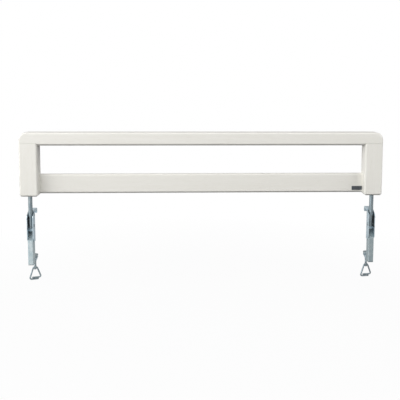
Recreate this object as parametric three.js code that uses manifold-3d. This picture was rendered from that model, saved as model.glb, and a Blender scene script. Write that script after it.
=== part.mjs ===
// Folding bed guard rail: a lacquered wooden guard on two steel legs. Each leg pivots in a
// channel bracket on a tube that clamps to the side board of a bed with a hook and a screw.
// Millimetres. X runs along the bed, Y points back over the mattress, Z is up. The origin is
// midway along the board's top outer edge, so the clamps touch the planes y = 0 and z = 0.

import * as THREE from "three";
import { RoundedBoxGeometry } from "three/addons/geometries/RoundedBoxGeometry.js";
import { mergeVertices, toCreasedNormals } from "three/addons/utils/BufferGeometryUtils.js";
import Module from "manifold-3d";

const wasm = await Module();
wasm.setup();

// Clearances and overruns
const seatGap = 0.3;
const overrun = 2;
const weldTolerance = 0.0005;

// Wooden guard
const guardLength = 1400;
const guardDepth = 60;
const postWidth = 69;
const postHeight = 204.5;
const postBottomHeight = 67.5;
const topRailHeight = 42;
const topRailCornerRadius = 28;
const topRailHaunch = 8;
const edgeRadius = 6.5;
const lowerRailHeight = 76;
const lowerRailThickness = 22;
const lowerRailBackSetBack = 3;
const lowerRailRaise = 6.5;
const lowerRailEdgeRadius = 6.5;

// Plate on the lower rail
const plateLength = 41;
const plateHeight = 16;
const plateThickness = 1;
const plateCornerRadius = 1.5;
const plateToPost = 1;
const plateRaise = 9.5;

// Dowels
const railDowelRadius = 5;
const railDowelLength = 50;
const railDowelSpacing = 36;
const sideDowelRadius = 4;
const sideDowelLength = 46;
const sideDowelSpacing = 32;

// Leg: a round tube with a closed lower end, beside the lever
const legRadius = 8;
const legWall = 1.5;
const legInPost = 118;
const legBehindPostFront = 22.5;
const legBelowPivot = 10;
const legScrewRadius = 2.5;
const legScrewHeadRadius = 4.5;
const legScrewHeadLength = 3;
const legScrewTipLength = 6;
const legScrewLength = 48;
const legScrewRaise = 32;
const legScrewSpacing = 56;

// Bracket: a U of sheet steel, open to the front
const sheet = 2.5;
const channelWidth = 20;
const bracketTop = 5;
const bracketTopFlat = 8;
const bracketFrontDrop = 10;
const bracketChamferHeight = 14;
const bracketChamferBack = 20;
const bracketLap = 8;
const bracketCornerRadius = 4;
const webBelowPivot = 24;

// Spine: rectangular tube, closed by a sloping top
const spineDepth = 34;
const spineWall = 2;
const spineCornerRadius = 2;
const spineBottom = 200;
const spineSlope = 31;
const spineCap = 2.8;
const plugRim = 2;
const plugInsert = 12;

// Hooked top jaw
const jawThickness = 9;
const jawToLeg = 0.75;
const jawStep = 1;
const jawReach = 48;
const jawLipDrop = 12.5;
const jawLipThickness = 6;
const jawBendRadius = 10;
const jawInnerRadius = 2;

// Lower jaw: a plate with two sloping cheeks, and a threaded bush welded between them
const lowerJawThickness = 3;
const lowerJawBeyondScrew = 15;
const lowerJawFoot = 15.7;
const lowerJawCornerRadius = 6;
const cheekThickness = 2.5;
const cheekFoot = 4;
const cheekEndHeight = 4.5;
const nutRadius = 6.5;
const nutHeight = 7;

// Clamp screw, pad and handle
const screwBack = 33;
const screwRadius = 5;
const screwTravel = 20;
const screwEnd = 8;
const padRadius = 12.5;
const padHeight = 10;
const padRim = 5;
const padSlope = 1.5;
const padBossRadius = 8;
const padCrown = 2.7;
const wireRadius = 3;
const wireLaneGap = 0.4;
const handleWidth = 51;
const handleDrop = 50;
const handleToNut = 11;
const handleApexHalf = 7.2;
const handleBend = 2.5;
const handleCornerBend = 8;
const handleEndGap = 4;
const handleTurns = { left: 18, right: 8 };

// Pivot bolt with a low round head and cap nut, and its two spacers
const pivotDepth = 50;
const pivotRadius = 4;
const pivotHeadRadius = 6.5;
const pivotHeadHeight = 1.8;
const spacerRadius = 6;

// Stop bolt behind the leg
const stopRadius = 2.5;
const stopDepth = 10;
const stopToWeb = 2.7;
const stopHeadRadius = 4;
const stopHeadHeight = 1.2;

// Release lever beside the leg
const leverThickness = 1.4;
const leverFlangeGap = 0.3;
const leverAbovePivot = 34.5;
const leverBelowPivot = 10;
const leverWidth = 10;
const leverToSpacer = 0.5;
const leverProud = 1;
const leverTabLength = 4;
const leverTabHeight = 4;
const leverTabSlope = 6;
const leverCornerRadius = 3;
const leverPinRadius = 2;
const leverPinBelowTop = 5.5;
const leverPinHeadRadius = 3.5;
const leverPinHeadHeight = 1.2;

// Places worked out from the sizes
const legX = guardLength / 2 - postWidth / 2;
const pivotY = -(sheet + stopToWeb + 2 * stopRadius + seatGap + legRadius);
const stopY = -(sheet + stopToWeb + stopRadius);
const guardFront = pivotY - legBehindPostFront;
const guardBack = guardFront + guardDepth;
const guardMiddleY = (guardFront + guardBack) / 2;
const postTop = postBottomHeight + postHeight;
const lowerRailBack = guardBack - lowerRailBackSetBack;
const lowerRailFront = lowerRailBack - lowerRailThickness;
const lowerRailBottom = postBottomHeight + lowerRailRaise;
const innerPostX = guardLength / 2 - postWidth;
const flangeInner = channelWidth / 2;
const flangeOuter = flangeInner + sheet;
const leverBack = spacerRadius + leverToSpacer - pivotY;
const leverFront = leverBack + leverWidth;
const leverTop = pivotDepth - leverAbovePivot;
const leverBottom = pivotDepth + leverBelowPivot;
const leverPinDepth = leverTop + leverPinBelowTop;
const leverPinReach = leverBack + leverWidth / 2;
const bracketFrontReach = leverFront - leverProud;
const webBottom = pivotDepth + webBelowPivot;
const spineTopFront = webBottom + spineSlope;
const bracketBottom = spineTopFront + bracketLap;
const jawFront = -(pivotY + legRadius) - jawToLeg;
const lowerJawTop = spineBottom + plugRim - lowerJawFoot;
const lowerJawReach = screwBack + lowerJawBeyondScrew;
const padTop = lowerJawTop - padHeight;
const nutBottom = lowerJawTop + lowerJawThickness + nutHeight;
const handleHoleDepth = nutBottom + screwTravel + handleToNut + wireRadius;
const handleBottom = handleHoleDepth + handleDrop;
const screwBottom = handleHoleDepth + screwEnd;

// Materials in the colours of the real object
const lacquer = material(0xe6e3da, 0.45, 0);
const beech = material(0xcaa477, 0.7, 0);
const zincSteel = material(0xaab6bb, 0.38, 0.9);
const blackPlastic = material(0x22282a, 0.5, 0);
const slatePlate = material(0x53585c, 0.5, 0.1);

function material(color, roughness, metalness) {
  return new THREE.MeshStandardMaterial({ color, roughness, metalness });
}

// Solids

function solid(geometry) {
  const bare = geometry.clone();
  bare.deleteAttribute("normal");
  bare.deleteAttribute("uv");
  const merged = mergeVertices(bare, weldTolerance);
  return new wasm.Manifold(
    new wasm.Mesh({
      numProp: 3,
      vertProperties: merged.attributes.position.array,
      triVerts: new Uint32Array(merged.index.array),
    }),
  );
}

function meshOf(name, body, look) {
  const made = body.getMesh();
  const geometry = new THREE.BufferGeometry();
  geometry.setAttribute("position", new THREE.BufferAttribute(made.vertProperties, made.numProp));
  geometry.setIndex(new THREE.BufferAttribute(made.triVerts, 1));
  const mesh = new THREE.Mesh(toCreasedNormals(geometry, Math.PI / 6), look);
  mesh.name = name;
  return mesh;
}

function block(x0, x1, y0, y1, z0, z1) {
  const geometry = new THREE.BoxGeometry(x1 - x0, y1 - y0, z1 - z0);
  geometry.translate((x0 + x1) / 2, (y0 + y1) / 2, (z0 + z1) / 2);
  return solid(geometry);
}

// A round bar along an axis, between two places on that axis.
function bar(axis, radius, from, to, place, sides = 16) {
  const geometry = new THREE.CylinderGeometry(radius, radius, to - from, sides);
  if (axis === "x") geometry.rotateZ(-Math.PI / 2);
  if (axis === "z") geometry.rotateX(Math.PI / 2);
  const centre = new THREE.Vector3(place.x ?? 0, place.y ?? 0, place.z ?? 0);
  centre[axis] = (from + to) / 2;
  geometry.translate(centre.x, centre.y, centre.z);
  return solid(geometry);
}

// A flat outline pushed along an axis. It is drawn in (y, z) for x, (x, z) for y, (x, y) for z.
function prism(axis, shape, from, to) {
  const geometry = new THREE.ExtrudeGeometry(shape, {
    depth: to - from,
    bevelEnabled: false,
    curveSegments: 4,
  });
  const turn = new THREE.Matrix4();
  if (axis === "x") turn.set(0, 0, 1, from, 1, 0, 0, 0, 0, 1, 0, 0, 0, 0, 0, 1);
  if (axis === "y") turn.set(1, 0, 0, 0, 0, 0, -1, to, 0, 1, 0, 0, 0, 0, 0, 1);
  if (axis === "z") turn.set(1, 0, 0, 0, 0, 1, 0, 0, 0, 0, 1, from, 0, 0, 0, 1);
  return solid(geometry.applyMatrix4(turn));
}

// An outline from corners [u, v, radius], each rounded by a curve that starts a radius away.
function outline(corners) {
  const shape = new THREE.Shape();
  corners.forEach(([u, v, radius = 0], i) => {
    const corner = new THREE.Vector2(u, v);
    const [before, after] = [i - 1, i + 1].map((k) => {
      const [a, b] = corners[(k + corners.length) % corners.length];
      return new THREE.Vector2(a, b).sub(corner).setLength(radius).add(corner);
    });
    if (i === 0) shape.moveTo(before.x, before.y);
    else shape.lineTo(before.x, before.y);
    if (radius > 0) shape.quadraticCurveTo(u, v, after.x, after.y);
  });
  shape.closePath();
  return shape;
}

function roundedRectangle(u0, u1, v0, v1, radius) {
  return outline([
    [u0, v0, radius],
    [u1, v0, radius],
    [u1, v1, radius],
    [u0, v1, radius],
  ]);
}

function turned(profile, sides = 16) {
  const points = profile.map(([radius, height]) => new THREE.Vector2(radius, height));
  return new THREE.LatheGeometry(points, sides).rotateX(Math.PI / 2);
}

// Wooden guard

function railDowel(x, clearance) {
  const half = railDowelLength / 2 + clearance;
  const place = { x, y: guardMiddleY };
  return bar("z", railDowelRadius + clearance, postTop - half, postTop + half, place);
}

function sideDowel(side, z, clearance) {
  const half = sideDowelLength / 2 + clearance;
  const x = side * innerPostX;
  const place = { y: (lowerRailFront + lowerRailBack) / 2, z };
  return bar("x", sideDowelRadius + clearance, x - half, x + half, place);
}

function railDowelPlaces(side) {
  return [-1, 1].map((step) => side * legX + (step * railDowelSpacing) / 2);
}

function sideDowelHeights() {
  const middle = lowerRailBottom + lowerRailHeight / 2;
  return [-1, 1].map((step) => middle + (step * sideDowelSpacing) / 2);
}

function legScrewHeights() {
  return [0, 1].map((step) => postBottomHeight + legScrewRaise + step * legScrewSpacing);
}

// A countersunk screw driven forwards from the post's back, or the hole for it.
function legScrew(x, z, clearance) {
  const shank = legScrewRadius + clearance;
  const profile = [
    [0, 0],
    [legScrewHeadRadius + clearance, 0],
    [shank, legScrewHeadLength],
    [shank, legScrewLength - legScrewTipLength],
    [0, legScrewLength + clearance],
  ];
  const geometry = turned(profile, 12).rotateX(Math.PI / 2);
  geometry.translate(x, guardBack, z);
  return solid(geometry);
}

// Between the posts the rail is deeper by its haunch, whose lower edges are rounded too.
function topRail() {
  const half = guardLength / 2 - edgeRadius;
  const bottom = postTop - topRailHaunch + edgeRadius;
  const top = postTop + topRailHeight - edgeRadius;
  const inner = topRailCornerRadius - edgeRadius;
  const shape = outline([
    [-half, bottom],
    [half, bottom],
    [half, top, inner],
    [-half, top, inner],
  ]);
  const geometry = new THREE.ExtrudeGeometry(shape, {
    depth: guardDepth - 2 * edgeRadius,
    bevelSize: edgeRadius,
    bevelThickness: edgeRadius,
    bevelSegments: 3,
    curveSegments: 6,
  });
  geometry.rotateX(Math.PI / 2).translate(0, guardBack - edgeRadius, 0);
  let body = solid(geometry);
  for (const side of [-1, 1]) {
    const ends = [side * innerPostX, side * guardLength].sort((a, b) => a - b);
    const above = [postTop - 2 * topRailHaunch, postTop];
    body = body.subtract(block(...ends, guardFront - overrun, guardBack + overrun, ...above));
  }
  for (const x of [-1, 1].flatMap(railDowelPlaces)) body = body.subtract(railDowel(x, seatGap));
  return meshOf("top_rail", body, lacquer);
}

function post(side, name) {
  const x = side * legX;
  const height = postHeight + edgeRadius;
  const geometry = new RoundedBoxGeometry(postWidth, guardDepth, height, 2, edgeRadius);
  geometry.translate(x, guardMiddleY, postBottomHeight + height / 2);
  const above = block(
    x - postWidth,
    x + postWidth,
    guardFront - overrun,
    guardBack + overrun,
    postTop,
    postTop + 2 * edgeRadius,
  );
  const bore = bar(
    "z",
    legRadius + seatGap,
    postBottomHeight - overrun,
    postBottomHeight + legInPost + seatGap,
    { x, y: pivotY },
  );
  let body = solid(geometry).subtract(above).subtract(bore);
  for (const place of railDowelPlaces(side)) body = body.subtract(railDowel(place, seatGap));
  for (const z of sideDowelHeights()) body = body.subtract(sideDowel(side, z, seatGap));
  for (const z of legScrewHeights()) body = body.subtract(legScrew(x, z, seatGap));
  return meshOf(name, body, lacquer);
}

function lowerRail() {
  const shape = roundedRectangle(
    lowerRailFront,
    lowerRailBack,
    lowerRailBottom,
    lowerRailBottom + lowerRailHeight,
    lowerRailEdgeRadius,
  );
  let body = prism("x", shape, -innerPostX, innerPostX);
  for (const side of [-1, 1]) {
    for (const z of sideDowelHeights()) body = body.subtract(sideDowel(side, z, seatGap));
  }
  return meshOf("lower_rail", body, lacquer);
}

function railPlate() {
  const right = innerPostX - plateToPost;
  const bottom = lowerRailBottom + plateRaise;
  const shape = roundedRectangle(
    right - plateLength,
    right,
    bottom,
    bottom + plateHeight,
    plateCornerRadius,
  );
  const body = prism("y", shape, lowerRailFront - plateThickness, lowerRailFront);
  return meshOf("rail_plate", body, slatePlate);
}

function woodenGuard() {
  const group = new THREE.Group();
  group.add(topRail(), lowerRail(), railPlate());
  for (const [side, word] of [[-1, "left"], [1, "right"]]) {
    group.add(post(side, `post_${word}`));
    railDowelPlaces(side).forEach((x, i) => {
      group.add(meshOf(`rail_dowel_${word}_${i + 1}`, railDowel(x, 0), beech));
    });
    sideDowelHeights().forEach((z, i) => {
      group.add(meshOf(`side_dowel_${word}_${i + 1}`, sideDowel(side, z, 0), beech));
    });
    legScrewHeights().forEach((z, i) => {
      group.add(meshOf(`leg_screw_${word}_${i + 1}`, legScrew(side * legX, z, 0), zincSteel));
    });
  }
  return group;
}

// Leg and clamp. Here x is counted from the clamp's middle, and points away from the bed's middle.

function leg(name) {
  const top = postBottomHeight + legInPost;
  const bottom = -pivotDepth - legBelowPivot;
  const place = { y: pivotY };
  let body = bar("z", legRadius, bottom, top, place, 24)
    .subtract(bar("z", legRadius - legWall, bottom + legWall, top + overrun, place, 24))
    .subtract(pivotBar(pivotRadius + seatGap, -flangeOuter, flangeOuter));
  for (const z of legScrewHeights()) body = body.subtract(legScrew(0, z, seatGap));
  return meshOf(name, body, zincSteel);
}

function bracket(name) {
  const side = outline([
    [0, -bracketBottom],
    [0, bracketTop],
    [-bracketTopFlat, bracketTop, bracketCornerRadius],
    [-bracketFrontReach, -bracketFrontDrop, bracketCornerRadius],
    [-bracketFrontReach, bracketChamferHeight - bracketBottom, bracketCornerRadius],
    [-bracketChamferBack, -bracketBottom, bracketCornerRadius],
  ].reverse());
  const inside = [-flangeInner, flangeInner];
  const front = -bracketFrontReach - overrun;
  const bottom = -bracketBottom - overrun;
  let body = prism("x", side, -flangeOuter, flangeOuter)
    .subtract(block(...inside, front, -sheet, bottom, bracketTop + overrun))
    .subtract(block(...inside, front, overrun, bottom, -webBottom))
    .subtract(block(...inside, front, overrun, jawStep, bracketTop + overrun))
    .subtract(pivotBar(pivotRadius + seatGap, -flangeOuter - overrun, flangeOuter + overrun))
    .subtract(stopBar(stopRadius + seatGap, -flangeOuter - overrun, flangeOuter + overrun))
    .subtract(leverPinBar(leverPinRadius + seatGap, 0, flangeOuter + overrun));
  return meshOf(name, body, zincSteel);
}

function spineSection(inset) {
  const half = flangeInner - inset;
  return roundedRectangle(-half, half, -spineDepth + inset, -inset, spineCornerRadius);
}

// The tube's outside or inside: its section, cut by a side view with the sloping top.
function spineBody(inset, below, lowered) {
  const bottom = -spineBottom - below;
  const sideView = outline([
    [0, bottom],
    [0, -webBottom - lowered],
    [-spineDepth, -spineTopFront - lowered],
    [-spineDepth, bottom],
  ].reverse());
  return prism("z", spineSection(inset), bottom, 0)
    .intersect(prism("x", sideView, -flangeInner, flangeInner));
}

function spine(name) {
  const body = spineBody(0, 0, 0).subtract(spineBody(spineWall, overrun, spineCap));
  return meshOf(name, body, zincSteel);
}

function spinePlug(name) {
  const rim = prism("z", spineSection(0), -spineBottom - plugRim, -spineBottom);
  const insertSection = spineSection(spineWall + seatGap);
  const insert = prism("z", insertSection, -spineBottom - plugRim, -spineBottom + plugInsert);
  return meshOf(name, rim.add(insert), blackPlastic);
}

function topJaw(name) {
  const shape = outline([
    [-jawFront, jawStep],
    [0, jawStep],
    [0, 0],
    [jawReach - jawLipThickness, 0, jawInnerRadius],
    [jawReach - jawLipThickness, -jawLipDrop],
    [jawReach, -jawLipDrop],
    [jawReach, jawThickness, jawBendRadius],
    [-jawFront, jawThickness],
  ]);
  return meshOf(name, prism("x", shape, -flangeInner, flangeInner), zincSteel);
}

function lowerJaw(name) {
  const plate = outline([
    [-flangeInner, 0],
    [flangeInner, 0],
    [flangeInner, lowerJawReach, lowerJawCornerRadius],
    [-flangeInner, lowerJawReach, lowerJawCornerRadius],
  ]);
  const top = -lowerJawTop;
  const body = prism("z", plate, top - lowerJawThickness, top)
    .add(block(-flangeInner, flangeInner, 0, lowerJawThickness, top - lowerJawFoot, top))
    .add(lowerJawCheek(-flangeInner))
    .add(lowerJawCheek(flangeInner - cheekThickness))
    .subtract(screwBar(screwRadius + seatGap, top - lowerJawFoot, top + overrun));
  return meshOf(name, body, zincSteel);
}

// One cheek, whose lower edge slopes up from the foot to just short of the plate's end.
function lowerJawCheek(from) {
  const top = -lowerJawTop;
  const end = lowerJawReach - lowerJawCornerRadius;
  const shape = outline([
    [0, top - lowerJawFoot],
    [cheekFoot, top - lowerJawFoot],
    [end, top - cheekEndHeight],
    [end, top],
    [0, top],
  ]);
  return prism("x", shape, from, from + cheekThickness);
}

function screwNut(name) {
  const top = nutHeight - nutBottom;
  const body = screwBar(nutRadius, -nutBottom, top)
    .subtract(screwBar(screwRadius + seatGap, -nutBottom - overrun, top + overrun));
  return meshOf(name, body, zincSteel);
}

function screwBar(radius, from, to) {
  return bar("z", radius, from, to, { y: screwBack });
}

function pressurePad(name) {
  const bore = screwRadius + seatGap;
  const profile = [
    [bore, -lowerJawTop],
    [padBossRadius, -lowerJawTop],
    [padBossRadius, -padTop - padRim - padSlope],
    [padRadius, -padTop - padRim],
    [padRadius, -padTop],
    [0, -padTop],
    [0, -padTop - padCrown],
    [bore, -padTop - padCrown],
    [bore, -lowerJawTop],
  ];
  const geometry = turned(profile, 24).translate(0, screwBack, 0);
  return meshOf(name, solid(geometry), zincSteel);
}

// The screw and its handle are drawn round the screw's own axis.
function clampScrew(name) {
  const top = -padTop - padCrown - seatGap;
  const hole = bar("x", wireRadius + seatGap, -legRadius, legRadius, { z: -handleHoleDepth });
  const body = bar("z", screwRadius, -screwBottom, top, {}).subtract(hole);
  return meshOf(name, body, zincSteel);
}

// One wire: along the base, up a side, through the screw, down the other side and along the base.
function handlePath() {
  const cornerHalf = handleWidth / 2 - wireRadius;
  const lowLane = -handleBottom + wireRadius;
  const highLane = lowLane + 2 * wireRadius + wireLaneGap;
  const laneEnd = cornerHalf - 2 * wireRadius - handleEndGap;
  const corners = [
    [laneEnd, lowLane, 0],
    [-cornerHalf, lowLane, handleCornerBend],
    [-handleApexHalf, -handleHoleDepth, handleBend],
    [handleApexHalf, -handleHoleDepth, handleBend],
    [cornerHalf, highLane, handleCornerBend],
    [-laneEnd, highLane, 0],
  ].map(([x, z, bend]) => ({ at: new THREE.Vector3(x, 0, z), bend }));
  const path = new THREE.CurvePath();
  let from = corners[0].at;
  for (let i = 1; i < corners.length; i += 1) {
    const { at, bend } = corners[i];
    const back = from.clone().sub(at).setLength(bend).add(at);
    path.add(new THREE.LineCurve3(from, back));
    if (bend > 0) {
      const on = corners[i + 1].at.clone().sub(at).setLength(bend).add(at);
      path.add(new THREE.QuadraticBezierCurve3(back, at, on));
      from = on;
    }
  }
  return path;
}

function screwHandle(name) {
  const section = new THREE.Shape();
  section.absarc(0, 0, wireRadius, 0, 2 * Math.PI, false);
  const geometry = new THREE.ExtrudeGeometry(section, {
    steps: 54,
    curveSegments: 4,
    bevelEnabled: false,
    extrudePath: handlePath(),
  });
  return meshOf(name, solid(geometry), zincSteel);
}

function pivotBar(radius, from, to) {
  return bar("x", radius, from, to, { y: pivotY, z: -pivotDepth });
}

function stopBar(radius, from, to, sides = 12) {
  return bar("x", radius, from, to, { y: stopY, z: -stopDepth }, sides);
}

function leverPinBar(radius, from, to, sides = 12) {
  return bar("x", radius, from, to, { y: -leverPinReach, z: -leverPinDepth }, sides);
}

function pivotBolt(name) {
  const shank = pivotBar(pivotRadius, -flangeOuter, flangeOuter);
  const head = pivotBar(pivotHeadRadius, flangeOuter, flangeOuter + pivotHeadHeight);
  return meshOf(name, shank.add(head), zincSteel);
}

function pivotNut(name) {
  const body = pivotBar(pivotHeadRadius, -flangeOuter - pivotHeadHeight, -flangeOuter);
  return meshOf(name, body, zincSteel);
}

function pivotSpacer(way, name) {
  const ends = [way * (legRadius + seatGap), way * flangeInner].sort((a, b) => a - b);
  const body = pivotBar(spacerRadius, ...ends)
    .subtract(pivotBar(pivotRadius + seatGap, -flangeOuter, flangeOuter));
  return meshOf(name, body, zincSteel);
}

function stopBolt(name) {
  const shank = stopBar(stopRadius, -flangeOuter, flangeOuter);
  const head = stopBar(stopHeadRadius, flangeOuter, flangeOuter + stopHeadHeight);
  return meshOf(name, shank.add(head), zincSteel);
}

function stopNut(name) {
  const body = stopBar(stopHeadRadius, -flangeOuter - stopHeadHeight, -flangeOuter);
  return meshOf(name, body, zincSteel);
}

function releaseLever(name) {
  const shape = outline([
    [-leverFront, -leverTop, leverCornerRadius],
    [-leverFront, -leverBottom + leverTabHeight + leverTabSlope, leverCornerRadius],
    [-leverFront - leverTabLength, -leverBottom + leverTabHeight],
    [-leverFront - leverTabLength, -leverBottom],
    [-leverBack, -leverBottom, leverCornerRadius],
    [-leverBack, -leverTop, leverCornerRadius],
  ]);
  const outside = flangeInner - leverFlangeGap;
  const inside = outside - leverThickness;
  const body = prism("x", shape, inside, outside)
    .subtract(leverPinBar(leverPinRadius + seatGap, inside - overrun, outside + overrun));
  return meshOf(name, body, blackPlastic);
}

function leverPin(name) {
  const inside = flangeInner - leverFlangeGap - leverThickness;
  const shank = leverPinBar(leverPinRadius, inside, flangeOuter);
  const head = leverPinBar(leverPinHeadRadius, flangeOuter, flangeOuter + leverPinHeadHeight);
  return meshOf(name, shank.add(head), zincSteel);
}

function clamp(side, word) {
  const group = new THREE.Group();
  group.position.x = side * legX;
  group.scale.x = side;
  group.add(
    leg(`leg_${word}`),
    bracket(`bracket_${word}`),
    spine(`spine_${word}`),
    spinePlug(`spine_plug_${word}`),
    topJaw(`top_jaw_${word}`),
    lowerJaw(`lower_jaw_${word}`),
    screwNut(`screw_nut_${word}`),
    pressurePad(`pressure_pad_${word}`),
    pivotBolt(`pivot_bolt_${word}`),
    pivotNut(`pivot_nut_${word}`),
    pivotSpacer(1, `pivot_spacer_outer_${word}`),
    pivotSpacer(-1, `pivot_spacer_inner_${word}`),
    stopBolt(`stop_bolt_${word}`),
    stopNut(`stop_nut_${word}`),
    releaseLever(`release_lever_${word}`),
    leverPin(`lever_pin_${word}`),
  );
  return group;
}

// Both handles rest turned the same way round, so this group isn't mirrored.
function screwAssembly(side, word) {
  const group = new THREE.Group();
  group.position.set(side * legX, screwBack, 0);
  group.rotation.z = THREE.MathUtils.degToRad(handleTurns[word]);
  group.add(clampScrew(`clamp_screw_${word}`), screwHandle(`screw_handle_${word}`));
  return group;
}

const group = new THREE.Group();
group.add(woodenGuard());
for (const [side, word] of [[-1, "left"], [1, "right"]]) {
  group.add(clamp(side, word), screwAssembly(side, word));
}

export default group;
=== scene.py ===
"""Visual model of a folding bed guard rail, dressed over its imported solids.

Shapes are drawn in millimetres and turned to metres when a piece is finished. A clamp is drawn
round its own middle, with x pointing away from the middle of the bed, and then stood at its side.
"""

import math

import bmesh
import bpy
from mathutils import Matrix, Vector


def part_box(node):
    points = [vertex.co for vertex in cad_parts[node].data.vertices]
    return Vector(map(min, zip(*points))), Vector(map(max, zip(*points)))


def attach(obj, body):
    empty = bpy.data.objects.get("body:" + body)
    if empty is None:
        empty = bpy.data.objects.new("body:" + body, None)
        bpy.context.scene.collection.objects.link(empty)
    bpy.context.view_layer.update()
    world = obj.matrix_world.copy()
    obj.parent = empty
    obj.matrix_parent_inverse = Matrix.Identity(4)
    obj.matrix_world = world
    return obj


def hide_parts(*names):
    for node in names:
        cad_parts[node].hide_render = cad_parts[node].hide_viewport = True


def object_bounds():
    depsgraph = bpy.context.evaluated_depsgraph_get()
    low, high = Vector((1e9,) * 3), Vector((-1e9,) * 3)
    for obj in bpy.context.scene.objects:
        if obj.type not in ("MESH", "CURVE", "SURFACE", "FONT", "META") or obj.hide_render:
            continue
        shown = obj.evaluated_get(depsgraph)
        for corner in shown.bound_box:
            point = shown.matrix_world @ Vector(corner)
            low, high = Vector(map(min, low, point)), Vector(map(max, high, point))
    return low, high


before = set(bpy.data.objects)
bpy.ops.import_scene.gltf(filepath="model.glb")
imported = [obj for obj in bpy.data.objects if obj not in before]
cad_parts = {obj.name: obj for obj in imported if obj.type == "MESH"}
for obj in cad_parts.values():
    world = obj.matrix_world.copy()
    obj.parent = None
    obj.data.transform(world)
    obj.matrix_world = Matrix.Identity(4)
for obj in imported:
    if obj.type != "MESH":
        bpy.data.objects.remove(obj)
cad_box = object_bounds()

MM = 0.001
SIDES = {"left": -1, "right": 1}
AXES = "xyz"
FULL_TURN = 2 * math.pi

# How close counts as the same place, and which edges count as sharp
NEAR = 0.02
STRAIGHT = 0.999
MERGE = 0.0005
SHARP = math.radians(40)
SMOOTH_BELOW = math.radians(38)

# Play round what sits in a bore, and how deep the shapes of one part run into each other
BORE_GAP = 0.3
OVERLAP = 1

# Wood: routed edges, lower edges that are nearly chamfers, and the seam of rail and post
RAIL_END_RADIUS = 28
WOOD_EDGE = 6.5
UNDER_EDGE = 8
LOWER_RAIL_UNDER_EDGE = 7
HAUNCH_EDGE = 7.5
UNDER_PROFILE = 0.3
SEAM_EDGE = 2.6

# Small plate
PLATE_CORNER = 1.5
PLATE_RIM = 0.3

# Leg screws and their holes: lengths, and shares of the head's or the shank's radius
SCREW_GAP = 0.25
SCREW_SINK = 3
SCREW_HOLE_NARROWING = 0.6
SCREW_SHANK_SHARE = 0.55
SCREW_TIP = 2.5
SCREW_TIP_SHARE = 0.4
SCREW_TAPER = 6
SCREW_LIP = 0.35
SCREW_RIM = 0.3
SOCKET_SHARE = 0.5
SOCKET_RIM_SHARE = 0.62
SOCKET_DEPTH = 1.8

# Leg
LEG_RADIUS = 8
LEG_WALL = 1.5
LEG_END = 2.5
LEG_RIM = 0.4

# Sheet steel and tube
SHEET = 2.5
SHEET_BEND = 2.2
SHEET_RIM = 0.35
CORNER = 4
BRACKET_TOP_FLAT = 8
BRACKET_FRONT_DROP = 10
BRACKET_CHAMFER_HEIGHT = 14
BRACKET_CHAMFER_BACK = 20
WEB_BOTTOM = -74
WEB_TOP = 1
SPINE_WALL = 2
SPINE_CORNER = 2
SPINE_SLOPE = 31
SPINE_RIM = 0.5
PLUG_RIM = 0.7
JAW_LIP = 6
JAW_BEND = 8.5
JAW_INNER_BEND = 2
JAW_LIP_CORNER = 3
JAW_RIM = 0.5
LOWER_JAW = 3
LOWER_JAW_CORNER = 6
LOWER_JAW_FOOT_RIM = 0.4
CHEEK = 2.5
CHEEK_FOOT = 4
CHEEK_END_HEIGHT = 4.5
NUT_RIM = 0.6

# Pressure pad
PAD_BORE = 5.3
PAD_BORE_ROOF = 2.7
PAD_BOSS = 8
PAD_RIM_HEIGHT = 5
PAD_CONE_HEIGHT = 1.5

# Clamp screw: the thread's crest and root lie at these shares of its pitch, and the thread is
# wound with spare turns that are then cut off
THREAD_RADIUS = 5
THREAD_PITCH = 3
THREAD_DEPTH = 0.92
THREAD_STEPS = 28
THREAD_MERGE = 0.01
SPARE_TURNS = 2
TURNS_BELOW_CUT = 1.5
CREST_START = 0.4
CREST_END = 0.525
ROOT_START = 0.925
SHANK_LENGTH = 17
SHANK_RADIUS = 4.9

# Wire handle
WIRE_BENDS = {"corner": 8, "apex": 2.5}
WIRE = 3
WIRE_RIM = 0.7
WIRE_LANE_GAP = 0.4
HANDLE_CORNER_HALF = 22.5
HANDLE_APEX_HALF = 7.2
HANDLE_TURNS = {"left": math.radians(18), "right": math.radians(8)}
HANDLE_END_GAP = 4

# Hinge
BOLT_SHANKS = {"pivot": 4, "stop": 2.5}
HEAD_SKIRT = 0.3
SPACER_RIM = 0.3
PIN_RADIUS = 2
PIN_CHAMFER = 0.4

# Release lever: a tab that stands out at the foot, and ribs above it
TAB_REACH = 4
TAB_HEIGHT = 4
TAB_SLOPE_TOP = 10
LEVER_CORNER = 3
LEVER_RIM = 0.35
RIB_COUNT = 5
RIB_START = 13
RIB_PITCH = 3.2
RIB_WIDTH = 1.3
RIB_HEIGHT = 0.6
RIB_INSET = 0.2
RIB_RIM = 0.25

# Weld beads: their size and spacing, how far they stand off, and where their runs start and end
WELD_RADIUS = 1.25
WELD_STEP = 1.5
WELD_LIFT = 0.3
CHEEK_WELD = (-3, -17)
FOOT_WELD_Y = 0.4
FOOT_WELD_INSETS = (2, 1)

# Camera: in front of the guard, a little left of its middle and above it
PHOTO_WIDTH = 400
CAMERA_TARGET = Vector((0, -11, 15.5)) * MM
CAMERA_DISTANCE = 2.5
CAMERA_AZIMUTH = math.radians(1.276)
CAMERA_HEIGHT = math.radians(11.837)
LOOK_YAW = math.radians(2.572)
LOOK_DOWN = math.radians(5.726)
CAMERA_ROLL = math.radians(0.225)
SENSOR_WIDTH = 36
LENS_SHARE = 634.02 / PHOTO_WIDTH
SHIFT_RIGHT = -17.16 / PHOTO_WIDTH
SHIFT_UP = -60 / PHOTO_WIDTH
SIGHT_END = 100

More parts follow.
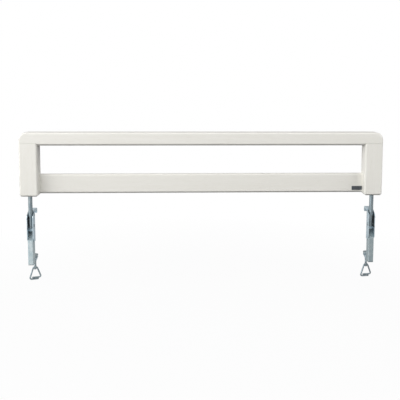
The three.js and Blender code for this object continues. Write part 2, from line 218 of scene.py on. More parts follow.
# Soft lamps that look at the middle of the guard: place and size in metres, power in watts
LAMPS = {
    "key_lamp": ((-2.2, -5.2, 2.7), 6.0, 250),
    "side_lamp": ((-5.0, -1.9, 1.8), 4.0, 230),
    "fill_lamp": ((4.9, -2.2, 1.9), 4.0, 165),
    "back_lamp": ((-4.4, 3.6, 1.8), 2.6, 70),
}
WHITE = "#FFFFFF"
AMBIENT = 0.26

# A reflection sees the surround fall to this strength between these places left and right
DIMMED = 0.4
DIMMING_REACH = 0.9

# The floor lies so far below the clamps that the folded guard hangs clear of it. It is plain
# white from a distance on, and shows its shadow faintly nearer to the middle.
FLOOR_DROP = 125
FLOOR_HALF = 12
FLOOR_BACK = 4
SHADOW_REACH = (0.9, 1.8)
WHITE_SHARE = 0.94


def srgb(hex_code):
    """A colour written as sRGB hex, as the linear values that shaders take."""
    shares = [int(hex_code[i : i + 2], 16) / 255 for i in (1, 3, 5)]
    linear = [c / 12.92 if c <= 0.04045 else ((c + 0.055) / 1.055) ** 2.4 for c in shares]
    return (*linear, 1.0)


def empty_tree(owner):
    """The node tree of a material or a world, with nothing in it."""
    owner.use_nodes = True
    owner.node_tree.nodes.clear()
    return owner.node_tree


def add_node(tree, kind, settings=None, inputs=None):
    """Adds a node, with its settings, and its inputs set to a value or linked to a socket."""
    node = tree.nodes.new(kind)
    for name, value in (settings or {}).items():
        setattr(node, name, value)
    for name, value in (inputs or {}).items():
        if isinstance(value, bpy.types.NodeSocket):
            tree.links.new(value, node.inputs[name])
        else:
            node.inputs[name].default_value = value
    return node


def new_material(name):
    """An empty material with a surface shader, its tree, and the object's own coordinates."""
    material = bpy.data.materials.new(name)
    tree = empty_tree(material)
    shader = add_node(tree, "ShaderNodeBsdfPrincipled")
    add_node(tree, "ShaderNodeOutputMaterial", inputs={"Surface": shader.outputs["BSDF"]})
    place = add_node(tree, "ShaderNodeTexCoord").outputs["Object"]
    return material, tree, shader, place


def per_metre(size):
    """The scale of a pattern whose features have this size in millimetres."""
    return 1 / (size * MM)


def noise(tree, place, size, detail):
    """Clouds or ripples that are alike in all directions."""
    pattern = add_node(
        tree,
        "ShaderNodeTexNoise",
        inputs={"Vector": place, "Scale": per_metre(size), "Detail": detail},
    )
    return pattern.outputs["Fac"]


def streaks(tree, place, along, length, width, detail):
    """Grain or strokes that are drawn out along one axis."""
    scales = [per_metre(length if axis == along else width) for axis in AXES]
    stretched = add_node(tree, "ShaderNodeMapping", inputs={"Vector": place, "Scale": scales})
    pattern = add_node(
        tree,
        "ShaderNodeTexNoise",
        inputs={"Vector": stretched.outputs["Vector"], "Scale": 1.0, "Detail": detail},
    )
    return pattern.outputs["Fac"]


def colour_ramp(tree, value, *stops):
    """Colours along a pattern, from pairs of a place and an sRGB hex code in rising order."""
    node = add_node(tree, "ShaderNodeValToRGB", inputs={"Fac": value})
    ramp = node.color_ramp.elements
    for element, (place, shade) in ((ramp[0], stops[0]), (ramp[1], stops[-1])):
        element.position = place
        element.color = srgb(shade)
    for place, shade in stops[1:-1]:
        ramp.new(place).color = srgb(shade)
    return node.outputs["Color"]


def dimmed(tree, colour, share, shade):
    """A colour multiplied by another one, as far as the share says."""
    mixed = add_node(
        tree,
        "ShaderNodeMix",
        {"data_type": "RGBA", "blend_type": "MULTIPLY"},
        {0: share, 6: colour, 7: shade},
    )
    return mixed.outputs[2]


def ranged(tree, value, to_range, from_range=(0.0, 1.0)):
    """A value carried from one range to another."""
    node = add_node(
        tree,
        "ShaderNodeMapRange",
        inputs={
            "Value": value,
            "From Min": from_range[0],
            "From Max": from_range[1],
            "To Min": to_range[0],
            "To Max": to_range[1],
        },
    )
    return node.outputs["Result"]


def calculated(tree, operation, first, second):
    """The result of an operation on two values."""
    node = add_node(tree, "ShaderNodeMath", {"operation": operation}, {0: first, 1: second})
    return node.outputs["Value"]


def relief(tree, height, depth, strength, coarser=None):
    """Fine relief with a depth in millimetres, laid over a coarser one if there is one."""
    inputs = {"Height": height, "Distance": depth * MM, "Strength": strength}
    if coarser is not None:
        inputs["Normal"] = coarser
    return add_node(tree, "ShaderNodeBump", inputs=inputs).outputs["Normal"]


def ivory_lacquer(name, grain_along):
    """Two-part ivory lacquer, sprayed satin over open-pored solid wood.

    The eye gets a warm off-white, a faint long grain where the lacquer sinks into the pores, and
    a soft sheen that the sprayed skin's ripple breaks up.
    """
    material, tree, shader, place = new_material(name)
    pores = streaks(tree, place, grain_along, length=26, width=0.9, detail=3.0)
    figure = streaks(tree, place, grain_along, length=240, width=14, detail=4.0)
    tone = colour_ramp(tree, figure, (0.3, "#E3E1D9"), (0.7, "#E6E4DD"))
    sunk = colour_ramp(tree, pores, (0.28, "#D9D5C9"), (0.4, WHITE))
    ripple = noise(tree, place, size=3, detail=2.0)
    skin = relief(tree, ripple, depth=0.06, strength=0.5)
    grain = relief(tree, sunk, depth=0.08, strength=0.6, coarser=skin)
    tree.links.new(dimmed(tree, tone, 0.3, sunk), shader.inputs["Base Color"])
    tree.links.new(ranged(tree, ripple, (0.36, 0.48)), shader.inputs["Roughness"])
    tree.links.new(grain, shader.inputs["Normal"])
    shader.inputs["IOR"].default_value = 1.49
    return material


def zinc_plate(name, drawn_along, shades):
    """Mild steel, drawn or rolled, bright zinc plated and blue passivated.

    The eye gets a cool silver with faint bluish and greyish clouds, fine drawing lines along the
    part, and small dull spots where the plating is thinner.
    """
    material, tree, shader, place = new_material(name)
    clouds = noise(tree, place, size=16, detail=3.0)
    tint = colour_ramp(tree, clouds, *zip((0.3, 0.5, 0.7), shades))
    spots = noise(tree, place, size=2.4, detail=4.0)
    dull = colour_ramp(tree, spots, (0.3, "#9AA3A6"), (0.48, WHITE))
    lines = streaks(tree, place, drawn_along, length=60, width=0.7, detail=3.0)
    tree.links.new(dimmed(tree, tint, 0.3, dull), shader.inputs["Base Color"])
    tree.links.new(ranged(tree, lines, (0.4, 0.56)), shader.inputs["Roughness"])
    tree.links.new(relief(tree, lines, depth=0.03, strength=0.4), shader.inputs["Normal"])
    shader.inputs["Metallic"].default_value = 1.0
    return material


def black_abs_with_painted_shade():
    """Black ABS from a spark-eroded mould: near black, a fine even grain and a dull sheen."""
    # The near black is partly painted shade: the lever and the plug that wear it stand where the
    # bracket's channel and the tube's foot lie in shade
    material, tree, shader, place = new_material("black_abs_and_painted_shade")
    cells = add_node(
        tree,
        "ShaderNodeTexVoronoi",
        inputs={"Vector": place, "Scale": per_metre(0.5)},
    )
    grain = cells.outputs["Distance"]
    shade = colour_ramp(tree, grain, (0.0, "#1B2022"), (1.0, "#292F31"))
    tree.links.new(shade, shader.inputs["Base Color"])
    tree.links.new(relief(tree, grain, depth=0.04, strength=0.5), shader.inputs["Normal"])
    shader.inputs["Roughness"].default_value = 0.5
    shader.inputs["IOR"].default_value = 1.54
    return material


def slate_aluminium():
    """Aluminium sheet, brushed along its length and anodised slate grey, with nothing on it."""
    material, tree, shader, place = new_material("slate_anodised_aluminium")
    strokes = streaks(tree, place, "x", length=30, width=0.35, detail=3.0)
    shade = colour_ramp(tree, strokes, (0.3, "#4B5054"), (0.7, "#5B6165"))
    tree.links.new(shade, shader.inputs["Base Color"])
    tree.links.new(relief(tree, strokes, depth=0.02, strength=0.4), shader.inputs["Normal"])
    shader.inputs["Roughness"].default_value = 0.42
    shader.inputs["Metallic"].default_value = 0.5
    return material


def bare_beech():
    """Planed beech, unfinished: pinkish tan with short dark flecks along the grain."""
    material, tree, shader, place = new_material("bare_beech")
    flecks = streaks(tree, place, "z", length=9, width=1.2, detail=4.0)
    shade = colour_ramp(tree, flecks, (0.35, "#A97F55"), (0.6, "#CDA67B"))
    tree.links.new(shade, shader.inputs["Base Color"])
    shader.inputs["Roughness"].default_value = 0.68
    return material


rail_lacquer = ivory_lacquer("satin_ivory_lacquer_rails", "x")
post_lacquer = ivory_lacquer("satin_ivory_lacquer_posts", "z")
tube_zinc = zinc_plate("blue_zinc_plate_drawn_tube", "z", ("#7A868C", "#838F94", "#8E979A"))
spine_zinc = zinc_plate("blue_zinc_plate_welded_tube", "z", ("#9FAEB3", "#AAB7BA", "#B6BFC1"))
# The sheet's shades are lighter than the tubes', partly as painted light that lifts the shade
# inside the bracket
sheet_zinc = zinc_plate("blue_zinc_plate_rolled_sheet", "y", ("#AEC0C9", "#B9C8D0", "#C4D0D5"))
bolt_zinc = zinc_plate("blue_zinc_plate_turned_parts", "x", ("#7F8B8F", "#899498", "#949D9F"))
black = black_abs_with_painted_shade()
slate = slate_aluminium()
beech = bare_beech()


def node_box(node):
    """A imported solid's lowest and highest corners, in millimetres."""
    low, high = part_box(node)
    return [value / MM for value in low], [value / MM for value in high]


def centre_of(low, high):
    """The middle of a box."""
    return [(a + b) / 2 for a, b in zip(low, high)]


CLAMP_X = centre_of(*node_box("spine_right"))[0]
LEG_X, LEG_Y, _ = centre_of(*node_box("leg_right"))


def local_box(node, side):
    """The box of a clamp's solid, counted from its middle, with x pointing outwards."""
    low, high = node_box(node)
    across = sorted(side * place - CLAMP_X for place in (low[0], high[0]))
    return [across[0], *low[1:]], [across[1], *high[1:]]


def screw_hole(side, word):
    """Where the clamp's screw stands along y, and the radius of a hole that it turns in."""
    low, high = local_box(f"clamp_screw_{word}", side)
    return centre_of(low, high)[1], (high[1] - low[1]) / 2 + BORE_GAP


def shift(blank, way):
    """Moves a whole blank."""
    bmesh.ops.translate(blank, vec=way, verts=blank.verts)


def swing(blank, turn):
    """Turns a whole blank about the origin."""
    bmesh.ops.rotate(blank, cent=(0, 0, 0), matrix=turn.to_3x3(), verts=blank.verts)


def stand(blank, side):
    """Takes a clamp's piece to its side of the bed."""
    bmesh.ops.scale(blank, vec=(side, 1, 1), verts=blank.verts)
    shift(blank, (side * CLAMP_X, 0, 0))
    return blank


def slab(low, high):
    """A rectangular blank between two corners."""
    blank = bmesh.new()
    bmesh.ops.create_cube(blank, size=1.0)
    bmesh.ops.scale(blank, vec=Vector(high) - Vector(low), verts=blank.verts)
    shift(blank, (Vector(low) + Vector(high)) / 2)
    return blank


def cut_out(corners, axis, start, end):
    """A blank of one outline, pushed along an axis. Corners are on the other two axes."""
    blank = bmesh.new()
    number = AXES.index(axis)
    across = [i for i in range(3) if i != number]
    ring = []
    for corner in corners:
        place = Vector((0, 0, 0))
        place[number] = start
        place[across[0]], place[across[1]] = corner
        ring.append(blank.verts.new(place))
    face = blank.faces.new(ring)
    pushed = bmesh.ops.extrude_face_region(blank, geom=[face])["geom"]
    push = Vector((0, 0, 0))
    push[number] = end - start
    bmesh.ops.translate(blank, vec=push, verts=only(pushed, bmesh.types.BMVert))
    bmesh.ops.recalc_face_normals(blank, faces=blank.faces)
    return blank


def only(parts, kind):
    """Those parts of a result that are vertices, edges or faces."""
    return [part for part in parts if isinstance(part, kind)]


def middle_of(edge):
    """The place halfway along an edge."""
    return (edge.verts[0].co + edge.verts[1].co) / 2


def edges_at(blank, run, **places):
    """Edges that run along an axis, at the given places across it."""
    chosen = []
    for edge in blank.edges:
        way = (edge.verts[1].co - edge.verts[0].co).normalized()
        middle = middle_of(edge)
        if abs(way[AXES.index(run)]) < STRAIGHT:
            continue
        if all(abs(getattr(middle, axis) - place) < NEAR for axis, place in places.items()):
            chosen.append(edge)
    return chosen


def sharp_edges(blank, wanted=None):
    """Edges between faces that meet at a clear angle, all or those whose middle is wanted."""
    return [
        edge
        for edge in blank.edges
        if edge.is_manifold
        and edge.calc_face_angle() > SHARP
        and (wanted is None or wanted(middle_of(edge)))
    ]


def round_off(blank, edges, radius, segments=2, profile=0.5):
    """Rounds edges off, as a router or a press tool does. A low profile is nearly a chamfer."""
    bmesh.ops.bevel(
        blank,
        geom=edges,
        offset=radius,
        segments=segments,
        profile=profile,
        affect="EDGES",
        material=-1,
        clamp_overlap=True,
    )


def round_caps(blank, sides, radius, segments=2):
    """Rounds off the rims of the flat ends of a bar with so many sides."""
    caps = [face for face in blank.faces if len(face.verts) == sides]
    round_off(blank, list({edge for face in caps for edge in face.edges}), radius, segments)


def cut_plane(blank, place, way, cut_away=False):
    """Cuts a blank by a plane, takes away what is beyond it if asked, and returns the edges."""
    cut = bmesh.ops.bisect_plane(
        blank,
        geom=[*blank.verts, *blank.edges, *blank.faces],
        plane_co=place,
        plane_no=way,
        clear_outer=cut_away,
    )["geom_cut"]
    return only(cut, bmesh.types.BMEdge)


def face_towards(blank, axis, way, near):
    """The flat face that looks along an axis and has a place on it."""
    normal = Vector([way if letter == axis else 0 for letter in AXES])
    place = Vector(near)
    around = [
        face
        for face in blank.faces
        if face.normal.dot(normal) > STRAIGHT and bmesh.geometry.intersect_face_point(face, place)
    ]
    return min(around, key=lambda face: abs((face.verts[0].co - place).dot(normal)))


def ring_edges(blank, verts):
    """The edges among some vertices."""
    inside = set(verts)
    return [edge for edge in blank.edges if all(vert in inside for vert in edge.verts)]


def pierce(blank, face, centre, turn, radius, segments):
    """Opens a face with a round hole and returns the hole's edges."""
    outer = list(face.edges)
    bmesh.ops.delete(blank, geom=[face], context="FACES_ONLY")
    place = Matrix.Translation(centre) @ turn
    hole = bmesh.ops.create_circle(blank, segments=segments, radius=radius, matrix=place)["verts"]
    rim = ring_edges(blank, hole)
    bmesh.ops.bridge_loops(blank, edges=outer + rim)
    return rim


def go_on(blank, rim, way, scale=1.0):
    """Draws a ring of edges out, scales it about its middle and returns the new ring."""
    drawn = bmesh.ops.extrude_edge_only(blank, edges=rim)["geom"]
    verts = only(drawn, bmesh.types.BMVert)
    bmesh.ops.translate(blank, vec=way, verts=verts)
    if scale != 1.0:
        middle = sum((vert.co for vert in verts), Vector()) / len(verts)
        space = Matrix.Translation(-middle)
        bmesh.ops.scale(blank, vec=(scale, scale, scale), space=space, verts=verts)
    return only(drawn, bmesh.types.BMEdge)


def close_ring(blank, rim):
    """Closes a ring of edges with one face."""
    bmesh.ops.edgeloop_fill(blank, edges=rim)


TO_X = Matrix.Rotation(math.pi / 2, 4, "Y")
TO_Y = Matrix.Rotation(math.pi / 2, 4, "X")
TO_Z = Matrix.Identity(4)


def rod(turn, centre, radius, length, sides, rim=0.0):
    """A round bar from a place along an axis, with its rims rounded if a radius is given."""
    blank = bmesh.new()
    place = Matrix.Translation(centre) @ turn
    bmesh.ops.create_circle(blank, cap_ends=True, segments=sides, radius=radius, matrix=place)
    way = (turn.to_3x3() @ Vector((0, 0, 1))) * length
    pushed = bmesh.ops.extrude_face_region(blank, geom=list(blank.faces))["geom"]
    bmesh.ops.translate(blank, vec=way, verts=only(pushed, bmesh.types.BMVert))
    bmesh.ops.recalc_face_normals(blank, faces=blank.faces)
    if rim:
        round_caps(blank, sides, rim)
    return blank


def turned(profile, centre, sides):
    """A shape turned on a lathe about an upright axis, from radius and height pairs."""
    blank = bmesh.new()
    verts = [blank.verts.new((radius, 0, height)) for radius, height in profile]
    edges = [blank.edges.new(pair) for pair in zip(verts, verts[1:])]
    bmesh.ops.spin(
        blank,
        geom=verts + edges,
        cent=(0, 0, 0),
        axis=(0, 0, 1),
        angle=FULL_TURN,
        steps=sides,
        use_merge=True,
    )
    bmesh.ops.remove_doubles(blank, verts=blank.verts, dist=MERGE)
    shift(blank, centre)
    return blank


def to_mesh(name, blank):
    """Turns a blank into a mesh."""
    mesh = bpy.data.meshes.new(name)
    blank.to_mesh(mesh)
    blank.free()
    return mesh


def joined(*blanks):
    """Several blanks as one."""
    whole = bmesh.new()
    for blank in blanks:
        part = to_mesh("part", blank)
        whole.from_mesh(part)
        bpy.data.meshes.remove(part)
    return whole


def add_object(name, data):
    """Puts a mesh, a camera or a lamp into the scene."""
    shape = bpy.data.objects.new(name, data)
    bpy.context.scene.collection.objects.link(shape)
    return shape


def finish(name, blank, material, body, slot, *nodes):
    """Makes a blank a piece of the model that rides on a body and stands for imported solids."""
    bmesh.ops.remove_doubles(blank, verts=blank.verts, dist=MERGE)
    bmesh.ops.recalc_face_normals(blank, faces=blank.faces)
    bmesh.ops.scale(blank, vec=(MM, MM, MM), verts=blank.verts)
    mesh = to_mesh(name, blank)
    mesh.materials.append(material)
    mesh.shade_smooth()
    mesh.set_sharp_from_angle(angle=SMOOTH_BELOW)
    shape = add_object(name, mesh)
    even = shape.modifiers.new("flats_stay_flat", "WEIGHTED_NORMAL")
    even.keep_sharp = True
    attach(shape, body)
    if nodes:
        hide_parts(*nodes)


def top_rail():
    """The rail over the posts: large end corners, and a deeper part that fits between them."""
    low, high = node_box("top_rail")
    seam = node_box("post_left")[1][2]
    inner = node_box("lower_rail")[1][0]
    outline = [
        (low[0], seam),
        (-inner, seam),
        (-inner, low[2]),
        (inner, low[2]),
        (inner, seam),
        (high[0], seam),
        (high[0], high[2]),
        (low[0], high[2]),
    ]
    blank = cut_out(outline, "y", low[1], high[1])
    for side in SIDES.values():
        corner = edges_at(blank, "y", x=side * high[0], z=high[2])
        round_off(blank, corner, RAIL_END_RADIUS, 14)
    round_off(blank, sharp_edges(blank, lambda p: p.z > seam + NEAR), WOOD_EDGE, 5)
    for y in (low[1], high[1]):
        round_off(blank, edges_at(blank, "x", y=y, z=low[2]), HAUNCH_EDGE, 6, UNDER_PROFILE)
        over_posts = [
            edge for edge in edges_at(blank, "x", y=y, z=seam) if abs(middle_of(edge).x) > inner
        ]
        round_off(blank, over_posts, SEAM_EDGE)
    finish("top_rail_lacquered", blank, rail_lacquer, "guard", "lacquered_wood", "top_rail")


def post(side, word):
    """A post with routed edges, the leg's bore in its foot and two screw holes in its back."""
    low, high = node_box(f"post_{word}")
    blank = slab(low, high)
    round_off(blank, edges_at(blank, "z"), WOOD_EDGE, 5)
    under = sharp_edges(blank, lambda p: p.z < low[2] + NEAR)
    round_off(blank, under, UNDER_EDGE, 6, UNDER_PROFILE)
    round_off(blank, sharp_edges(blank, lambda p: p.z > high[2] - NEAR), SEAM_EDGE)
    place = (side * LEG_X, LEG_Y, low[2])
    foot = face_towards(blank, "z", -1, place)
    rim = pierce(blank, foot, place, TO_Z, LEG_RADIUS + BORE_GAP, 32)
    leg_top = node_box(f"leg_{word}")[1][2]
    close_ring(blank, go_on(blank, rim, (0, 0, leg_top - low[2])))
    screws = [node_box(f"leg_screw_{word}_{number}") for number in (1, 2)]
    heights = [centre_of(*box)[2] for box in screws]
    cut_plane(blank, (0, 0, sum(heights) / 2), (0, 0, 1))
    for height, (screw_low, screw_high) in zip(heights, screws):
        place = (side * LEG_X, high[1], height)
        radius = (screw_high[0] - screw_low[0]) / 2 + SCREW_GAP
        rim = pierce(blank, face_towards(blank, "y", 1, place), place, TO_Y, radius, 24)
        rim = go_on(blank, rim, (0, -SCREW_SINK, 0), SCREW_HOLE_NARROWING)
        rim = go_on(blank, rim, (0, screw_low[1] - screw_high[1] + SCREW_SINK, 0))
        close_ring(blank, rim)
    name = f"post_{word}_lacquered"
    finish(name, blank, post_lacquer, "guard", "lacquered_wood", f"post_{word}")


def lower_rail():
    """The thinner rail between the posts, with its long edges routed."""
    low, high = node_box("lower_rail")
    blank = slab(low, high)
    for y in (low[1], high[1]):
        round_off(blank, edges_at(blank, "x", y=y, z=high[2]), WOOD_EDGE, 5)
        under = edges_at(blank, "x", y=y, z=low[2])
        round_off(blank, under, LOWER_RAIL_UNDER_EDGE, 6, UNDER_PROFILE)
    finish("lower_rail_lacquered", blank, rail_lacquer, "guard", "lacquered_wood", "lower_rail")


def rail_plate():
    """The bare plate at the rail's right end: rounded corners and a fine polished rim."""
    low, high = node_box("rail_plate")
    blank = slab(low, high)
    round_off(blank, edges_at(blank, "y"), PLATE_CORNER, 6)
    round_off(blank, sharp_edges(blank, lambda p: p.y < low[1] + NEAR), PLATE_RIM)
    finish("rail_plate_slate", blank, slate, "guard", "plate", "rail_plate")


def leg_screw(side, word, number):
    """A countersunk wood screw with a six-sided socket."""
    node = f"leg_screw_{word}_{number}"
    low, high = node_box(node)
    head = (high[0] - low[0]) / 2
    shank = head * SCREW_SHANK_SHARE
    length = high[1] - low[1]
    profile = [
        (0, length),
        (shank * SCREW_TIP_SHARE, length - SCREW_TIP),
        (shank, length - SCREW_TAPER),
        (shank, SCREW_SINK),
        (head, SCREW_LIP),
        (head - SCREW_RIM, 0),
        (head * SOCKET_RIM_SHARE, 0),
    ]
    blank = turned(profile, (0, 0, 0), 24)
    rim = [edge for edge in blank.edges if edge.is_boundary]
    radius = head * SOCKET_SHARE
    inner = bmesh.ops.create_circle(blank, segments=6, radius=radius, matrix=TO_Z)["verts"]
    socket = ring_edges(blank, inner)
    bmesh.ops.bridge_loops(blank, edges=rim + socket)
    close_ring(blank, go_on(blank, socket, (0, 0, SOCKET_DEPTH)))
    swing(blank, TO_Y)
    shift(blank, (side * LEG_X, high[1], centre_of(low, high)[2]))
    finish(f"{node}_turned", blank, bolt_zinc, "guard", "zinc_steel", node)


def leg(side, word):
    """The drawn tube: open at its sawn top, closed and spun round at its lower end."""
    node = f"leg_{word}"
    low, high = node_box(node)
    bore = LEG_RADIUS - LEG_WALL
    closed = low[2] + LEG_WALL
    profile = [
        (0, closed),
        (bore, closed),
        (bore, high[2] - LEG_RIM),
        (bore + LEG_RIM, high[2]),
        (LEG_RADIUS - LEG_RIM, high[2]),
        (LEG_RADIUS, high[2] - LEG_RIM),
    ]
    for degrees in (0, 22.5, 45, 67.5, 90):
        angle = math.radians(degrees)
        across = LEG_RADIUS - LEG_END * (1 - math.cos(angle))
        profile.append((across, low[2] + LEG_END * (1 - math.sin(angle))))
    profile.append((0, low[2]))
    blank = turned(profile, (side * LEG_X, LEG_Y, 0), 48)
    finish(f"{node}_drawn", blank, tube_zinc, "guard", "zinc_steel", node)


def bracket(side, word):
    """The hinge's U of sheet steel: two cheeks with cut corners, and a web with a bent edge."""
    node = f"bracket_{word}"
    low, high = local_box(node, side)
    front, bottom, top = low[1], low[2], high[2]
    outline = [
        (0, bottom),
        (0, top),
        (-BRACKET_TOP_FLAT, top),
        (front, -BRACKET_FRONT_DROP),
        (front, bottom + BRACKET_CHAMFER_HEIGHT),
        (-BRACKET_CHAMFER_BACK, bottom),
    ]
    cheeks = []
    for way in (-1, 1):
        outside = way * high[0]
        cheek = cut_out(outline, "x", way * (high[0] - SHEET), outside)
        for y, z in outline[2:]:
            round_off(cheek, edges_at(cheek, "x", y=y, z=z), CORNER, 5)
        round_off(cheek, edges_at(cheek, "z", x=outside, y=0), SHEET_BEND, 4)
        round_off(cheek, sharp_edges(cheek), SHEET_RIM)
        cheeks.append(cheek)
    inner = high[0] - SHEET + SHEET_RIM
    web = slab((-inner, -SHEET, WEB_BOTTOM), (inner, 0, WEB_TOP))
    round_off(web, sharp_edges(web, lambda p: abs(p.x) < NEAR), SHEET_RIM)
    blank = stand(joined(*cheeks, web), side)
    finish(f"{node}_bent", blank, sheet_zinc, "clamp_frames", "zinc_steel", node)


def spine(side, word):
    """The clamp's rectangular tube, with its sloping top closed and ground flush."""
    node = f"spine_{word}"
    low, high = local_box(node, side)
    blank = slab(low, (high[0], high[1], high[2] + SPINE_SLOPE))
    round_off(blank, edges_at(blank, "z"), SPINE_CORNER, 4)
    slope = (0, -SPINE_SLOPE, high[1] - low[1])
    rim = cut_plane(blank, (0, high[1], high[2]), slope, cut_away=True)
    close_ring(blank, rim)
    round_off(blank, rim, SPINE_RIM)
    foot = [face for face in blank.faces if face.normal.z < -STRAIGHT]
    bmesh.ops.delete(blank, geom=foot, context="FACES_ONLY")
    bmesh.ops.solidify(blank, geom=blank.faces, thickness=SPINE_WALL)
    blank = stand(blank, side)
    finish(f"{node}_closed", blank, spine_zinc, "clamp_frames", "zinc_steel", node)


def spine_plug(side, word):
    """The black plug in the tube's foot: a rim as wide as the tube, and a body inside it."""
    node = f"spine_plug_{word}"
    low, high = local_box(node, side)
    foot = node_box(f"spine_{word}")[0][2]
    rim = slab(low, (high[0], high[1], foot))
    round_off(rim, edges_at(rim, "z"), SPINE_CORNER, 4)
    round_off(rim, sharp_edges(rim, lambda p: p.z < low[2] + NEAR), PLUG_RIM, 3)
    inset = SPINE_WALL + BORE_GAP
    body = slab(
        (low[0] + inset, low[1] + inset, low[2] + OVERLAP),
        (high[0] - inset, high[1] - inset, high[2]),
    )
    blank = stand(joined(rim, body), side)
    # The plug's black is partly painted shade: a dark band at the tube's foot, where shade falls
    # on every lower edge
    finish(f"{node}_moulded", blank, black, "clamp_frames", "black_plastic", node)


def top_jaw(side, word):
    """The hook: flat bar bent down at its end, with the lip's corners ground round."""
    node = f"top_jaw_{word}"
    low, high = local_box(node, side)
    inner = high[1] - JAW_LIP
    outline = [
        (low[1], WEB_TOP),
        (0, WEB_TOP),
        (0, 0),
        (inner, 0),
        (inner, low[2]),
        (high[1], low[2]),
        (high[1], high[2]),
        (low[1], high[2]),
    ]
    blank = cut_out(outline, "x", low[0], high[0])
    round_off(blank, edges_at(blank, "x", y=high[1], z=high[2]), JAW_BEND, 8)
    round_off(blank, edges_at(blank, "x", y=inner, z=0), JAW_INNER_BEND, 4)
    for x in (low[0], high[0]):
        round_off(blank, edges_at(blank, "y", x=x, z=low[2]), JAW_LIP_CORNER, 5)
    round_off(blank, sharp_edges(blank, lambda p: p.y > low[1] + NEAR), JAW_RIM, 3)
    blank = stand(blank, side)
    finish(f"{node}_bent", blank, sheet_zinc, "clamp_frames", "zinc_steel", node)


def lower_jaw(side, word):
    """The pressed plate that the screw passes through, with its foot and two sloping cheeks."""
    node = f"lower_jaw_{word}"
    low, high = local_box(node, side)
    under = high[2] - LOWER_JAW
    plate = slab((low[0], 0, under), high)
    for x in (low[0], high[0]):
        round_off(plate, edges_at(plate, "z", x=x, y=high[1]), LOWER_JAW_CORNER, 6)
    round_off(plate, sharp_edges(plate, lambda p: p.y > NEAR), JAW_RIM, 3)
    screw_y, radius = screw_hole(side, word)
    rims = []
    for way, z in ((1, high[2]), (-1, under)):
        centre = (0, screw_y, z)
        rims += pierce(plate, face_towards(plate, "z", way, centre), centre, TO_Z, radius, 32)
    bmesh.ops.bridge_loops(plate, edges=rims)
    foot = slab(
        (low[0] + SHEET_RIM, 0, low[2]),
        (high[0] - SHEET_RIM, LOWER_JAW, under + OVERLAP),
    )
    round_off(foot, sharp_edges(foot, lambda p: p.y > NEAR), LOWER_JAW_FOOT_RIM)
    end = high[1] - LOWER_JAW_CORNER
    outline = [
        (0, low[2]),
        (CHEEK_FOOT, low[2]),
        (end, high[2] - CHEEK_END_HEIGHT),
        (end, high[2] - OVERLAP),
        (0, high[2] - OVERLAP),
    ]
    cheeks = []
    for way in (-1, 1):
        cheek = cut_out(outline, "x", way * (high[0] - CHEEK), way * high[0])
        round_off(cheek, sharp_edges(cheek), SHEET_RIM)
        cheeks.append(cheek)
    blank = stand(joined(plate, foot, *cheeks), side)
    finish(f"{node}_pressed", blank, sheet_zinc, "clamp_frames", "zinc_steel", node)


def screw_nut(side, word):
    """The round bush welded between the lower jaw's cheeks, which the screw turns in."""
    node = f"screw_nut_{word}"
    low, high = local_box(node, side)
    radius = (high[1] - low[1]) / 2
    bore = screw_hole(side, word)[1]
    profile = [
        (bore, high[2]),
        (bore, low[2] + NUT_RIM),
        (bore + NUT_RIM, low[2]),
        (radius - NUT_RIM, low[2]),
        (radius, low[2] + NUT_RIM),
        (radius, high[2]),
        (bore, high[2]),
    ]
    blank = stand(turned(profile, (0, centre_of(low, high)[1], 0), 40), side)
    finish(f"{node}_turned", blank, bolt_zinc, "clamp_frames", "zinc_steel", node)


def pressure_pad(side, word):
    """The swivel pad on the screw: a turned disc with a raised rim, a cone and a boss."""
    node = f"pressure_pad_{word}"
    low, high = local_box(node, side)
    radius = (high[0] - low[0]) / 2
    roof = high[2] - PAD_BORE_ROOF
    rim_foot = high[2] - PAD_RIM_HEIGHT
    cone_foot = rim_foot - PAD_CONE_HEIGHT
    # The small numbers round the corners of boss, cone and rim
    profile = [
        (0, roof),
        (PAD_BORE, roof),
        (PAD_BORE, low[2]),
        (PAD_BOSS - 0.5, low[2]),
        (PAD_BOSS, low[2] + 0.5),
        (PAD_BOSS, cone_foot - 0.3),
        (PAD_BOSS + 0.4, cone_foot),
        (radius - 0.6, rim_foot - 0.1),
        (radius, rim_foot + 0.5),
        (radius, high[2] - 0.7),
        (radius - 0.2, high[2] - 0.2),
        (radius - 0.7, high[2]),
        (0, high[2]),
    ]
    blank = stand(turned(profile, (0, centre_of(low, high)[1], 0), 48), side)
    finish(f"{node}_turned", blank, bolt_zinc, f"pad_{word}", "zinc_steel", node)


